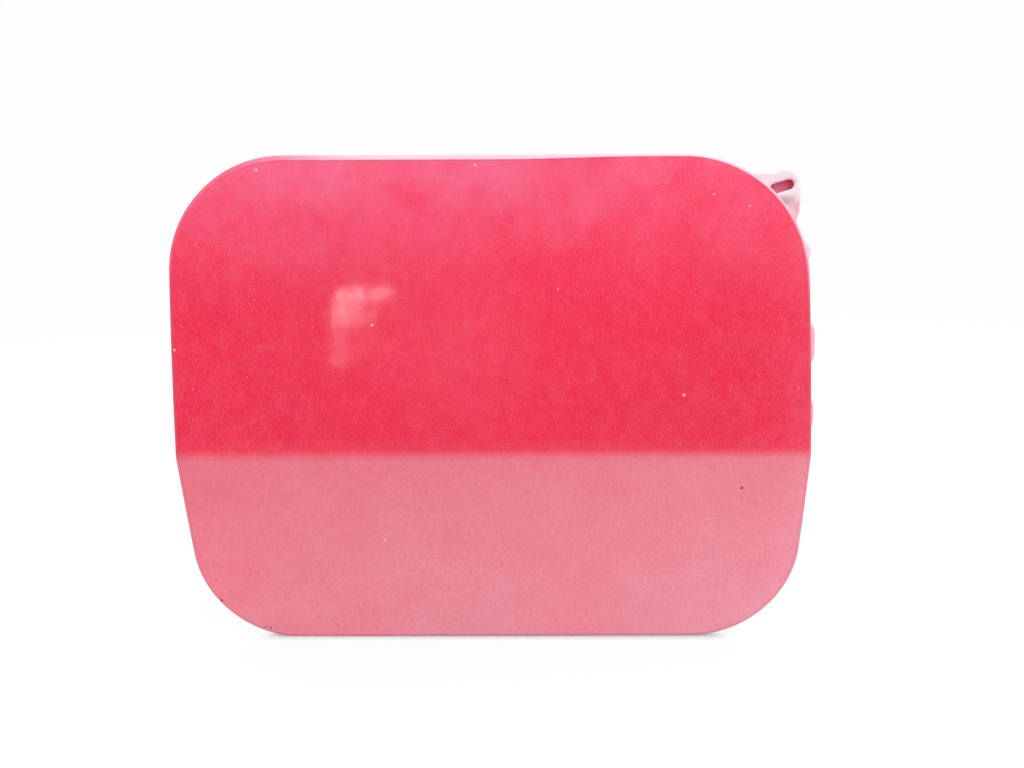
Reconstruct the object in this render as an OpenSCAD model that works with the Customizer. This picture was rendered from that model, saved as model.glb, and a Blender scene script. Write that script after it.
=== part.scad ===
// Fuel door: a creased, hemmed sheet-steel flap on a knuckled hinge with its base bracket.
// The door is upright and closed: outer face towards -Y, hinge at +X, hinge pin along Z.
// The origin is the middle of the two body bolt holes, on the back face of the bracket's foot.

/* [Door outline] */
// Width of the door across its widest line
door_w = 201.6; // [180:0.1:220]
// Height of the flat upper facet, from the crease to the top edge
upper_h = 94.2; // [86:0.1:100]
// Upright height of the lower facet, from the crease to the bottom edge
lower_h = 65.2; // [56:0.1:72]
// Angle by which the lower facet turns back from the upper one
crease_deg = 16; // [10:0.5:20]
// Outside radius of the body crease
crease_r = 5; // [2.6:0.1:6]
// Corner radius at the top, on the free side
corner_top_free = 36; // [30:0.5:40]
// Corner radius at the top, on the hinge side
corner_top_hinge = 39.5; // [32:0.5:42]
// Corner radius at the bottom, on the free side
corner_low_free = 33.3; // [28:0.1:40]
// Corner radius at the bottom, on the hinge side
corner_low_hinge = 33.7; // [28:0.1:40]
// Radius of the long bow in the two upright sides
side_bow_r = 1800; // [1000:50:4000]
// Height of the free side's widest point above the crease
bow_z_free = 42; // [20:1:55]
// Height of the hinge side's widest point above the crease
bow_z_hinge = -16; // [-20:1:20]

/* [Sheet metal] */
// Thickness of the outer skin
skin_t = 0.8; // [0.6:0.05:1]
// Thickness of the inner liner
liner_t = 0.7; // [0.5:0.05:0.9]
// Thickness of the hinge leaf on the door
leaf_t = 1.5; // [1.2:0.1:2]
// Thickness of the base bracket
bracket_t = 1.5; // [1.2:0.1:2]
// Width of the skin's folded hem
hem_w = 8; // [6:0.5:10]

/* [Liner] */
// Distance from the door's edge to the foot of the liner's raised frame
frame_inset = 11; // [9.5:0.5:13]
// Width of the liner's raised frame
frame_w = 20; // [17:0.5:24]
// Depth of the frame's back face behind the outer face
frame_level = 6.2; // [5.6:0.1:7]
// Depth of the low pan's back face behind the outer face
pan_level = 3.4; // [3:0.1:3.8]
// Number of stiffening beads in the pan
bead_count = 2; // [1:1:2]
// Width of a stiffening bead
bead_w = 9; // [7:0.5:11]
// Radius of the round access holes in the pan
access_r = 8.5; // [6:0.5:9.5]
// Radius of the drain holes along the bottom of the frame
drain_r = 3; // [2:0.5:4]

/* [Hinge] */
// Distance from the door's hinge edge in to the pin
pin_inset = 15.4; // [14.5:0.1:17]
// Diameter of the hinge pin
pin_d = 5; // [4:0.5:6]
// Wall of the bushes in the door's knuckles
bush_wall = 0.8; // [0.6:0.1:1]
// Thickness of a bush's collar
collar_t = 0.8; // [0.6:0.1:1.2]
// Height of the lowest knuckle above the crease
hinge_z = 11; // [9:0.5:13]
// Length of each knuckle on the base bracket
base_knuckle_l = 10; // [8:0.5:11]
// Length of each knuckle on the door's leaf
leaf_knuckle_l = 11; // [9:0.5:12]
// Space for the spring between the door's two knuckles
spring_gap = 16; // [15:0.5:17]
// Reach of the leaf across the door, from the pin
leaf_reach = 37; // [34:0.5:40]
// Wire diameter of the torsion spring
wire_d = 1.2; // [1:0.1:1.3]
// Number of turns in the torsion spring
spring_turns = 8; // [6:1:9]
// Largest opening angle of the door
open_deg = 88; // [80:1:90]

/* [Base bracket] */
// Depth of the foot's front face behind the door's outer face
foot_depth = 26.5; // [26:0.5:30]
// Distance from the pin out to the foot's plain outer edge
foot_reach = 20.1; // [19.6:0.1:23]
// Distance that the foot's three pads stand out past its plain edge
pad_out = 5.7; // [5:0.1:7]
// Distance that the top pad falls short of the other two
pad_short = 1.8; // [0:0.1:2.5]
// Height of the middle pad
pad_h = 17; // [15:0.5:18]
// Height of the ear's top edge above the crease
ear_top = 93; // [92:0.1:97]
// Distance that the ear's boss stands forward of the foot
boss_out = 3; // [2.5:0.1:4]
// Radius of the two body bolt holes
bolt_r = 3.3; // [2.7:0.1:3.5]
// Distance between the two body bolt holes
bolt_span = 56; // [54:0.5:58]
// Width of the slot in the ear
slot_w = 4; // [3:0.1:4.2]
// Length of the slot in the ear, end to end
slot_l = 9.5; // [8:0.5:12]

/* [Catch] */
// Height of the catch's middle above the crease
catch_z = 30; // [20:1:40]
// Thickness of the catch plate
catch_t = 1.6; // [1.4:0.1:2]
// Width of the catch tongue
tongue_w = 14; // [12:0.5:16]
// Reach of the catch tongue behind the liner's frame
tongue_reach = 19; // [16:0.5:22]
// Width of the window that the latch pin enters
window_w = 7; // [6:0.5:8]
// Length of the window that the latch pin enters
window_l = 9; // [7:0.5:10]

/* [Rubber and rivets] */
// Radius of a rubber buffer's head
buffer_r = 5.5; // [4.5:0.5:6.5]
// Height of a rubber buffer's head above the frame
buffer_h = 4.4; // [3.5:0.1:5.5]
// Radius of the rivets' shanks
rivet_r = 1.5; // [1.2:0.1:1.8]

/* [Hidden] */
fit_gap = 0.05;
seat_gap = 0.02;
thrust_gap = 0.15;
skin_color = [0.86, 0.09, 0.2];
steel_color = [0.72, 0.74, 0.77];
rubber_color = [0.09, 0.09, 0.1];
nylon_color = [0.9, 0.88, 0.82];
mastic_color = [0.3, 0.29, 0.28];
arc_steps = 12;
side_steps = 6;
past = 1;

// depths through the hem: skin, liner, skin folded back
flange_level = skin_t + liner_t;
hem_level = flange_level + skin_t;

// hinge line, in the door's own place: x across, y depth, z above the crease
edge_hinge = door_w / 2;
pin_r = pin_d / 2;
bush_bore = pin_r + fit_gap;
bush_r = bush_bore + bush_wall;
leaf_bore = bush_r + fit_gap;
leaf_curl_r = leaf_bore + leaf_t;
base_bore = pin_r + seat_gap;
base_curl_r = base_bore + bracket_t;
pin_x = edge_hinge - pin_inset;
pin_y = pan_level + leaf_curl_r;

// stations along the pin, from the bottom up
low_base_z = hinge_z;
low_leaf_z = low_base_z + base_knuckle_l + thrust_gap + collar_t;
spring_z = low_leaf_z + leaf_knuckle_l;
high_leaf_z = spring_z + spring_gap;
high_base_z = high_leaf_z + leaf_knuckle_l + collar_t + thrust_gap;
hinge_top = high_base_z + base_knuckle_l;
head_t = 1.6;
clip_t = 0.7;
clip_land = 1.6;
pin_bottom = low_base_z - thrust_gap - clip_t - clip_land;

// liner plan
hinge_room = 6;
room_x = pin_x - base_curl_r - 2.2;
room_low = low_base_z - hinge_room;
room_high = hinge_top + hinge_room + 1;
pan_inset = frame_inset + frame_w;
bead_rise = 1.7;
bead_l = 74;
bead_pitch = 26;
bead_x = -0.11 * door_w;
bead_mid = 0.42 * (upper_h - pan_inset);
access_pitch = 0.24 * door_w;
access_z = -0.28 * lower_h;
drain_pitch = door_w / 4;

// leaf plan
leaf_x = pin_x - leaf_reach;
leaf_low = low_leaf_z;
leaf_high = high_leaf_z + leaf_knuckle_l;
leaf_corner = 5;
notch_depth = base_curl_r + 2.6;
rivet_dx = 9;
rivet_dz = 8;
head_r = rivet_r + 1.4;
rivet_head_t = 1.1;
tail_t = 0.9;

// bracket plan
wall_x = pin_x - base_curl_r;
wall_y = pin_y + leaf_curl_r + 1.2;
foot_back = foot_depth + bracket_t;
foot_edge = pin_x + foot_reach;
foot_low = low_base_z - 7.6;
bend_r = 1.5;
bolt_mid = 38.5;
bolt_x = foot_edge - 7.3;
pad_r = 5;
mid_pad_z = 35;
boss_x = foot_edge - 1.3;
boss_w = 20;
boss_high = ear_top + 0.2;
boss_low = boss_high - 8.9;
boss_r = 3;
peak_out = 1.1;
peak_w = 8;
slot_tilt = 17;
slot_x = boss_x - 6.2;
slot_z = boss_low + 4;
relief_r = 2.5;
relief_z = boss_low - 3.4;
gusset_t = 3;
gusset_leg = 8;
stop_w = 9;
stop_z = (spring_z + high_leaf_z) / 2;
stop_pad_t = 2;
stop_gap = 0.35;
stop_y = wall_y + 2.4;
stop_near = stop_y - 1 - pin_y;
stop_reach = (pin_y - hem_level + stop_near * cos(open_deg)) / sin(open_deg);
stop_tip = pin_x + stop_reach - stop_pad_t - stop_gap;

// torsion spring
coil_r = (base_bore + leaf_curl_r) / 2 + 0.15;
wire_r = wire_d / 2;
coil_pitch = (spring_gap - 1.2 - wire_d) / spring_turns;
wire_sides = 8;
turn_steps = 14;

// catch plan
catch_x = -door_w / 2 + frame_inset + 3.4;
catch_foot_w = 13;
catch_foot_h = 26;
catch_bend = 1.4;

// buffers on the frame
buffer_x = -door_w / 2 + frame_inset + frame_w / 2 - 1;
buffer_high = 60;
buffer_low = -36;
stem_r = 2.5;
bulb_r = 3.5;

// Moves the door's own place to the part's frame, whose origin is the bolt pattern.
module in_frame() {
    translate([-bolt_x, -foot_back, -bolt_mid])
        children();
}

// Points of an arc about c, from angle a to angle b.
function arc(c, r, a, b, n) = [
    for (i = [0:n])
        c + r * [cos(a + (b - a) * i / n), sin(a + (b - a) * i / n)]
];

// Centre of a corner arc that touches the bowed side from inside: side +1 hinge, -1 free.
function bow_centre(side) = [
    side * (door_w / 2 - side_bow_r),
    side > 0 ? bow_z_hinge : bow_z_free
];

function corner_centre(side, r, z) = [
    bow_centre(side)[0] + side * sqrt(pow(side_bow_r - r, 2) - pow(z - bow_centre(side)[1], 2)),
    z
];

function bow_angle(side, r, z) =
    atan2(z - bow_centre(side)[1], corner_centre(side, r, z)[0] - bow_centre(side)[0]);

// The door's outline set in by d: bowed sides, straight top and bottom, four corner arcs.
function outline(d) =
    let (
        rth = corner_top_hinge,
        rtf = corner_top_free,
        rlf = corner_low_free,
        rlh = corner_low_hinge,
        zth = upper_h - rth,
        ztf = upper_h - rtf,
        zlf = rlf - lower_h,
        zlh = rlh - lower_h,
        ath = bow_angle(1, rth, zth),
        atf = bow_angle(-1, rtf, ztf),
        alf = bow_angle(-1, rlf, zlf) + (bow_angle(-1, rlf, zlf) < 0 ? 360 : 0),
        alh = bow_angle(1, rlh, zlh)
    )
    concat(
        arc(corner_centre(1, rth, zth), rth - d, ath, 90, arc_steps),
        arc(corner_centre(-1, rtf, ztf), rtf - d, 90, atf, arc_steps),
        side_points(-1, d, atf, alf),
        arc(corner_centre(-1, rlf, zlf), rlf - d, alf, 270, arc_steps),
        arc(corner_centre(1, rlh, zlh), rlh - d, -90, alh, arc_steps),
        side_points(1, d, alh, ath)
    );

// Points inside one bowed side, its ends left to the corner arcs.
function side_points(side, d, a, b) = [
    for (i = [1:side_steps - 1])
        bow_centre(side) + (side_bow_r - d) * [cos(a + (b - a) * i / side_steps), sin(a + (b - a) * i / side_steps)]
];

// Stands a plan drawn in x and z upright, from depth a to depth b.
module plan(a, b) {
    translate([0, b, 0])
        rotate([90, 0, 0])
            linear_extrude(b - a)
                children();
}

module outline_prism(d) {
    plan(-past, lower_h)
        polygon(outline(d));
}

// The creased profile at depth t, from top to bottom, as points of depth and height.
function profile(t) =
    let (
        r = max(crease_r - t, 0),
        c = (t + r) * [1, tan(crease_deg / 2)],
        drop = lower_h + 10
    )
    concat(
        [[t, upper_h + 10]],
        r > 0
            ? arc(c, r, 180, 180 + crease_deg, 4)
            : [c],
        [c - r * [cos(crease_deg), sin(crease_deg)] + drop * [tan(crease_deg), -1]]
    );

function reversed(list) = [for (i = [len(list) - 1:-1:0]) list[i]];

// Creased sheet between the depths a and b, over the whole door.
module creased(a, b) {
    translate([-door_w, 0, 0])
        rotate([90, 0, 90])
            linear_extrude(2 * door_w)
                polygon(concat(profile(a), reversed(profile(b))));
}

// Creased layer between two depths, cut to the outline set in by d.
module layer(a, b, d) {
    intersection() {
        creased(a, b);
        outline_prism(d);
    }
}

// Places something at x and height z on the face, at a depth, square to the facet it is on.
module on_face(x, z, depth) {
    translate([x, 0, 0])
        rotate([z < 0 ? crease_deg : 0, 0, 0])
            translate([0, depth, z])
                children();
}

// Cylinder along the depth, from y = 0.
module peg(r, h, fn = 32) {
    rotate([-90, 0, 0])
        cylinder(h = h, r = r, $fn = fn);
}

// Upright rounded rectangle between two corners, as a plan.
module rounded(x0, z0, x1, z1, r) {
    translate([x0 + r, z0])
        square([x1 - x0 - 2 * r, z1 - z0]);
    translate([x0, z0 + r])
        square([x1 - x0, z1 - z0 - 2 * r]);
    for (x = [x0 + r, x1 - r], z = [z0 + r, z1 - r])
        translate([x, z])
            circle(r = r, $fn = 32);
}

// Slot of width w and length l, as a plan about its middle.
module slot(l, w) {
    square([l - w, w], center = true);
    for (side = [-1, 1])
        translate([side * (l - w) / 2, 0])
            circle(d = w, $fn = 32);
}

// Outer skin: creased face, its edge, and the hem folded back over the liner.
module outer_panel() {
    color(skin_color)
        in_frame()
            difference() {
                layer(0, hem_level, 0);
                layer(skin_t, flange_level, skin_t);
                layer(skin_t, hem_level + past, hem_w);
            }
}

// Low pan of the liner: the middle, and the room for the hinge at the edge.
module low_plan(grow) {
    polygon(outline(pan_inset - grow));
    translate([leaf_x - 5 - grow, room_low - grow])
        square([door_w / 2, room_high - room_low + 2 * grow]);
}

// Plan of the room beside the knuckles, where the liner stays down in the hem.
module room_plan(grow) {
    translate([room_x - grow, room_low - grow])
        square([door_w / 2, room_high - room_low + 2 * grow]);
}

function bead_z(i) = bead_mid + (i - (bead_count - 1) / 2) * bead_pitch;

module bead_plan(grow) {
    for (i = [0:bead_count - 1])
        translate([bead_x, bead_z(i)])
            slot(bead_l + 2 * grow, bead_w + 2 * grow);
}

// Everything the liner's press pushes back, to one thickness or the other side of it.
module liner_form(back, shrink) {
    difference() {
        union() {
            layer(-past, pan_level - back, frame_inset + shrink);
            difference() {
                layer(-past, frame_level - back, frame_inset + shrink);
                plan(-past, lower_h)
                    low_plan(shrink);
            }
            intersection() {
                creased(-past, pan_level + bead_rise - back);
                plan(-past, lower_h)
                    bead_plan(-shrink);
            }
        }
        plan(-past, lower_h)
            room_plan(shrink);
    }
}

// Inner liner: flange held in the hem, raised frame, low pan with beads and holes.
module inner_liner() {
    color(skin_color)
        in_frame()
            difference() {
                union() {
                    layer(skin_t, flange_level, skin_t + fit_gap);
                    intersection() {
                        liner_form(0, 0);
                        creased(skin_t, 2 * frame_level);
                    }
                }
                liner_form(liner_t, liner_t);
                liner_holes();
            }
}

module liner_holes() {
    for (side = [-1, 1])
        translate([bead_x + side * access_pitch / 2, 0, access_z])
            peg(access_r, lower_h);
    for (i = [-1:1])
        on_face(i * drain_pitch, -lower_h + pan_inset / 2 - 1, 0)
            peg(drain_r, frame_level + past);
    leaf_rivet_places()
        peg(rivet_r + fit_gap, pan_level + past);
    catch_rivet_places()
        peg(rivet_r + fit_gap, frame_level + past);
    buffer_places()
        peg(stem_r + fit_gap, frame_level + past);
    spring_hook_place()
        peg(wire_r + 0.25, pan_level + past);
}

// Anti-flutter mastic between the skin and the liner's pan.
module mastic_pads() {
    color(mastic_color)
        in_frame()
            for (side = [-1, 1], row = [0, 1])
                translate([bead_x + side * bead_l / 3, skin_t, bead_mid + row * bead_pitch])
                    peg(bead_w / 2, pan_level - liner_t - skin_t);
}

// Ring of sheet wrapped round the pin's line, from height z, h long.
module curl(bore, r, z, h) {
    translate([pin_x, pin_y, z])
        difference() {
            cylinder(h = h, r = r, $fn = 48);
            translate([0, 0, -past])
                cylinder(h = h + 2 * past, r = bore, $fn = 48);
            children();
        }
}

module leaf_rivet_places() {
    for (side = [-1, 1]) {
        translate([leaf_x + rivet_dx, 0, (leaf_low + leaf_high) / 2 + side * rivet_dz])
            children();
        translate([leaf_x + 2 * rivet_dx, 0, (leaf_low + leaf_high) / 2 + side * (spring_gap + leaf_knuckle_l) / 2])
            children();
    }
}

// Leaf on the door: plate on the liner's pan, with two knuckles curled round the bushes.
module hinge_leaf() {
    color(skin_color)
        in_frame()
            difference() {
                union() {
                    plan(pan_level, pan_level + leaf_t)
                        rounded(leaf_x, leaf_low, pin_x - notch_depth, leaf_high, leaf_corner);
                    for (z = [low_leaf_z, high_leaf_z]) {
                        translate([pin_x - notch_depth - leaf_corner - past, pan_level, z])
                            cube([notch_depth + leaf_corner + past, leaf_t, leaf_knuckle_l]);
                        curl(leaf_bore, leaf_curl_r, z, leaf_knuckle_l)
                            translate([-2 * leaf_curl_r, -leaf_bore, -past])
                                cube([2 * leaf_curl_r, 1.8, leaf_knuckle_l + 2 * past]);
                    }
                }
                leaf_rivet_places()
                    peg(rivet_r + fit_gap, pan_level + leaf_t + past);
                spring_hook_place()
                    peg(wire_r + 0.25, pan_level + leaf_t + past);
                for (z = [low_leaf_z, high_leaf_z])
                    translate([pin_x, pin_y, z - past])
                        cylinder(h = leaf_knuckle_l + 2 * past, r = leaf_bore, $fn = 48);
            }
}

// One rivet, its head behind the sheet at level back and its tail inside at level front.
module rivet(front, back) {
    translate([0, front - tail_t, 0])
        peg(rivet_r + 0.8, tail_t);
    translate([0, front, 0])
        peg(rivet_r, back - front);
    translate([0, back, 0])
        intersection() {
            peg(head_r, rivet_head_t);
            translate([0, rivet_head_t - head_r * 1.6, 0])
                sphere(r = head_r * 1.6, $fn = 48);
        }
}

module leaf_rivets() {
    color(steel_color)
        in_frame()
            leaf_rivet_places()
                rivet(pan_level - liner_t, pan_level + leaf_t);
}

// Flanged bush in one of the door's knuckles; side +1 has its collar at the top.
module bush(z, side) {
    color(nylon_color)
        in_frame()
            translate([pin_x, pin_y, 0])
                difference() {
                    union() {
                        translate([0, 0, z])
                            cylinder(h = leaf_knuckle_l, r = bush_r, $fn = 48);
                        translate([0, 0, side > 0 ? z + leaf_knuckle_l : z - collar_t])
                            cylinder(h = collar_t, r = leaf_curl_r, $fn = 48);
                    }
                    translate([0, 0, z - 2 * past])
                        cylinder(h = leaf_knuckle_l + 4 * past, r = bush_bore, $fn = 48);
                }
}

module upper_bush() {
    bush(high_leaf_z, 1);
}

module lower_bush() {
    bush(low_leaf_z, -1);
}

module catch_rivet_places() {
    for (side = [-1, 1])
        translate([catch_x + catch_foot_w / 2 - 1, 0, catch_z + side * (catch_foot_h / 2 - 4)])
            children();
}

// Catch: a plate on the liner's frame and a tongue with a window for the latch pin.
module catch_hook() {
    tongue_x = catch_x + catch_foot_w;
    tip = frame_level + tongue_reach;
    color(steel_color)
        in_frame()
            difference() {
                union() {
                    plan(frame_level, frame_level + catch_t)
                        rounded(catch_x, catch_z - catch_foot_h / 2, tongue_x, catch_z + catch_foot_h / 2, 3);
                    translate([tongue_x - catch_t, frame_level + catch_t, catch_z - tongue_w / 2])
                        cube([catch_t, tongue_reach - catch_t - 4, tongue_w]);
                    translate([tongue_x - catch_t, tip - 4, catch_z - tongue_w / 2 + 4])
                        cube([catch_t, 4, tongue_w - 8]);
                    for (side = [-1, 1])
                        translate([tongue_x - catch_t, tip - 4, catch_z + side * (tongue_w / 2 - 4)])
                            rotate([0, 90, 0])
                                cylinder(h = catch_t, r = 4, $fn = 32);
                    translate([tongue_x - catch_t - catch_bend, frame_level + catch_t, catch_z - tongue_w / 2])
                        difference() {
                            cube([catch_bend, catch_bend, tongue_w]);
                            translate([0, catch_bend, -past])
                                cylinder(h = tongue_w + 2 * past, r = catch_bend, $fn = 32);
                        }
                }
                translate([tongue_x - catch_t - past, tip - 3.5 - window_l, catch_z - window_w / 2])
                    cube([catch_t + 2 * past, window_l, window_w]);
                catch_rivet_places()
                    peg(rivet_r + fit_gap, frame_level + catch_t + past);
            }
}

module catch_rivets() {
    color(steel_color)
        in_frame()
            catch_rivet_places()
                rivet(frame_level - liner_t, frame_level + catch_t);
}

module buffer_places() {
    buffer_place(buffer_high)
        children();
    buffer_place(buffer_low)
        children();
}

module buffer_place(z) {
    on_face(buffer_x, z, 0)
        children();
}

// Rubber buffer: domed head on the frame, stem through it and a bulb behind it.
module buffer() {
    inside = frame_level - liner_t;
    color(rubber_color) {
        translate([0, frame_level, 0])
            peg(buffer_r, buffer_h - buffer_r / 3);
        translate([0, frame_level + buffer_h - buffer_r / 3, 0])
            intersection() {
                peg(buffer_r, buffer_r / 3);
                translate([0, buffer_r / 3 - buffer_r * 5 / 3, 0])
                    sphere(r = buffer_r * 5 / 3, $fn = 48);
            }
        translate([0, inside, 0])
            peg(stem_r, liner_t);
        translate([0, inside - 2.4, 0])
            rotate([-90, 0, 0])
                cylinder(h = 2.4, r1 = stem_r - 0.5, r2 = bulb_r, $fn = 32);
    }
}

module upper_buffer() {
    in_frame()
        buffer_place(buffer_high)
            buffer();
}

module lower_buffer() {
    in_frame()
        buffer_place(buffer_low)
            buffer();
}

// Outer edge of the foot: plain edge, three pads and the ear, as a plan.
module foot_plan() {
    translate([wall_x + bend_r + bracket_t, foot_low])
        square([foot_edge - wall_x - bend_r - bracket_t, relief_z - foot_low]);
    rounded(wall_x + bend_r + bracket_t, foot_low + 6, foot_edge, ear_top, 3);
    low_pad_h = 0.85 * pad_h;
    top_pad_h = 0.62 * pad_h;
    low_pad_z = bolt_mid - bolt_span / 2;
    top_pad_z = bolt_mid + bolt_span / 2;
    rounded(bolt_x - 6, low_pad_z - low_pad_h / 2, foot_edge + pad_out, low_pad_z + low_pad_h / 2, pad_r);
    rounded(bolt_x - 6, mid_pad_z - pad_h / 2, foot_edge + pad_out, mid_pad_z + pad_h / 2, pad_r);
    rounded(bolt_x - 6, top_pad_z - top_pad_h / 2, foot_edge + pad_out - pad_short, top_pad_z + top_pad_h / 2, pad_r);
}

// Plan of the ear's boss with its peak at the outer end, set in by d.
module boss_plan(d) {
    peak_x = boss_x - peak_out;
    rounded(boss_x - boss_w + d, boss_low + d, boss_x - d, boss_high - d, boss_r - d);
    rounded(peak_x - peak_w + d, boss_low + peak_out + d, peak_x - d, boss_high + peak_out - d, boss_r - d);
}

// Base bracket: foot with pads, ear and boss, bent wall, two curled knuckles, stop tab.
module base_bracket() {
    color(skin_color)
        in_frame()
            difference() {
                union() {
                    difference() {
                        plan(foot_depth, foot_back)
                            foot_plan();
                        plan(foot_depth - past, foot_back + past)
                            boss_plan(bracket_t);
                    }
                    difference() {
                        plan(foot_depth - boss_out, foot_back)
                            boss_plan(0);
                        plan(foot_depth - boss_out + bracket_t, foot_back + past)
                            boss_plan(bracket_t);
                    }
                    bracket_bend();
                    translate([wall_x, wall_y, low_base_z])
                        cube([bracket_t, foot_back - bend_r - bracket_t - wall_y, hinge_top - low_base_z]);
                    for (z = [low_base_z, high_base_z]) {
                        translate([wall_x, pin_y, z])
                            cube([bracket_t, wall_y - pin_y, base_knuckle_l]);
                        curl(base_bore, base_curl_r, z, base_knuckle_l)
                            translate([-base_bore, 0, -past])
                                cube([1.6, 2 * base_curl_r, base_knuckle_l + 2 * past]);
                    }
                    translate([wall_x, stop_y, stop_z - stop_w / 2])
                        cube([stop_tip - wall_x, bracket_t, stop_w]);
                    for (z = [low_base_z + base_knuckle_l, high_base_z])
                        gusset(z);
                }
                for (z = [low_base_z, high_base_z])
                    translate([pin_x, pin_y, z - past])
                        cylinder(h = base_knuckle_l + 2 * past, r = base_bore, $fn = 48);
                for (side = [-1, 1])
                    translate([bolt_x, foot_depth - past, bolt_mid + side * bolt_span / 2])
                        peg(bolt_r, bracket_t + 2 * past, 48);
                translate([slot_x, 0, slot_z])
                    rotate([0, -slot_tilt, 0])
                        plan(foot_depth - boss_out - past, foot_depth - boss_out + bracket_t + past)
                            slot(slot_l, slot_w);
                translate([foot_edge, foot_depth - past, relief_z])
                    peg(relief_r, bracket_t * 0.6 + past);
            }
}

// Bend between the wall and the foot.
module bracket_bend() {
    translate([wall_x + bend_r + bracket_t, foot_back - bend_r - bracket_t, low_base_z])
        intersection() {
            difference() {
                cylinder(h = hinge_top - low_base_z, r = bend_r + bracket_t, $fn = 48);
                translate([0, 0, -past])
                    cylinder(h = hinge_top - low_base_z + 2 * past, r = bend_r, $fn = 48);
            }
            translate([-2 * bracket_t - bend_r, 0, 0])
                cube([2 * bracket_t + bend_r, 2 * bracket_t + bend_r, hinge_top - low_base_z]);
        }
}

// Pressed corner gusset between the wall and the foot.
module gusset(z) {
    translate([wall_x + bracket_t, foot_depth, z - gusset_t / 2])
        linear_extrude(gusset_t)
            polygon([[0, 0], [gusset_leg, 0], [0, -gusset_leg]]);
}

// Plate welded inside the ear's boss, behind the slot.
module ear_backing() {
    color(skin_color)
        in_frame()
            plan(foot_depth + 0.3, foot_back)
                boss_plan(bracket_t + fit_gap);
}

// Hinge pin with a head on top and a groove for its clip below.
module hinge_pin() {
    groove_z = low_base_z - thrust_gap - clip_t;
    color(steel_color)
        in_frame()
            translate([pin_x, pin_y, 0])
                difference() {
                    union() {
                        translate([0, 0, pin_bottom + 0.6])
                            cylinder(h = hinge_top - pin_bottom - 0.6, r = pin_r, $fn = 48);
                        translate([0, 0, pin_bottom])
                            cylinder(h = 0.6, r1 = pin_r - 0.6, r2 = pin_r, $fn = 48);
                        translate([0, 0, hinge_top])
                            cylinder(h = head_t - 0.5, r = base_curl_r, $fn = 48);
                        translate([0, 0, hinge_top + head_t - 0.5])
                            cylinder(h = 0.5, r1 = base_curl_r, r2 = base_curl_r - 0.5, $fn = 48);
                    }
                    translate([0, 0, groove_z])
                        difference() {
                            cylinder(h = clip_t, r = pin_r + past, $fn = 48);
                            cylinder(h = clip_t, r = pin_r - 0.6, $fn = 48);
                        }
                }
}

// Retaining clip in the pin's groove, open on one side.
module pin_clip() {
    groove_z = low_base_z - thrust_gap - clip_t;
    color(steel_color)
        in_frame()
            translate([pin_x, pin_y, groove_z + 0.03])
                difference() {
                    cylinder(h = clip_t - 0.06, r = base_curl_r + 0.3, $fn = 48);
                    translate([0, 0, -past])
                        cylinder(h = clip_t + 2 * past, r = pin_r - 0.6 + seat_gap, $fn = 48);
                    translate([0, -pin_r + 0.7, -past])
                        cube([2 * base_curl_r, 2 * pin_r - 1.4, clip_t + 2 * past]);
                    for (a = [120, 240])
                        rotate([0, 0, a])
                            translate([pin_r + 0.3, 0, -past])
                                cylinder(h = clip_t + 2 * past, r = 0.9, $fn = 24);
                }
}

// Where the spring's hooked end goes through the leaf and the liner.
hook_x = pin_x - 17;
hook_z = spring_z + 0.6 + wire_r;

module spring_hook_place() {
    translate([hook_x, 0, hook_z])
        children();
}

leg_y = pan_level + leaf_t + wire_r + fit_gap - pin_y;
wall_leg_x = bracket_t - base_curl_r + wire_r + fit_gap;
coil_start = asin(leg_y / coil_r);
coil_low = spring_z + 0.6 + wire_r;
coil_end = 180;

// Line of the wire about the pin: hooked end, leg on the leaf, coil, leg along the wall.
function wire_line() = concat(
    [
        [hook_x - pin_x, pan_level - liner_t - 0.5 - pin_y, coil_low],
        [hook_x - pin_x, leg_y - 0.9, coil_low],
        [hook_x - pin_x + 0.35, leg_y - 0.2, coil_low],
        [hook_x - pin_x + 1.1, leg_y, coil_low],
        [-coil_r * 1.5, leg_y, coil_low],
        [-coil_r * 0.9, leg_y - 0.15, coil_low]
    ],
    [
        for (i = [0:turn_steps * spring_turns])
            let (a = 250 + (coil_end + 360 - 250) * i / (turn_steps * spring_turns) + 360 * (spring_turns - 1) * i / (turn_steps * spring_turns))
                [coil_r * cos(a), coil_r * sin(a), coil_low + coil_pitch * (a - 250) / 360]
    ],
    [
        [-coil_r * 0.93, coil_r * 0.55, coil_low + coil_pitch * spring_turns],
        [wall_leg_x - 0.15, coil_r * 1.25, coil_low + coil_pitch * spring_turns],
        [wall_leg_x, coil_r * 1.6, coil_low + coil_pitch * spring_turns],
        [wall_leg_x, foot_depth - 5 - pin_y, coil_low + coil_pitch * spring_turns]
    ]
);

function unit(v) = v / norm(v);

// Directions of a line at each of its points, and a frame carried along it.
function along(p) = [
    for (i = [0:len(p) - 1])
        unit(p[min(i + 1, len(p) - 1)] - p[max(i - 1, 0)])
];

function carried(t, i, u) =
    i >= len(t) ? [] : let (v = unit(u - (u * t[i]) * t[i])) concat([v], carried(t, i + 1, v));

// Tube swept along points p.
module swept(p, r, sides) {
    t = along(p);
    u = carried(t, 0, [0, 0, 1]);
    ring = [
        for (i = [0:len(p) - 1], k = [0:sides - 1])
            p[i] + r * (cos(360 * k / sides) * u[i] + sin(360 * k / sides) * cross(t[i], u[i]))
    ];
    last = (len(p) - 1) * sides;
    polyhedron(
        points = ring,
        faces = concat(
            [[for (k = [0:sides - 1]) k]],
            [[for (k = [sides - 1:-1:0]) last + k]],
            [
                for (i = [0:len(p) - 2], k = [0:sides - 1])
                    [i * sides + k, (i + 1) * sides + k, (i + 1) * sides + (k + 1) % sides, i * sides + (k + 1) % sides]
            ]
        )
    );
}

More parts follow.
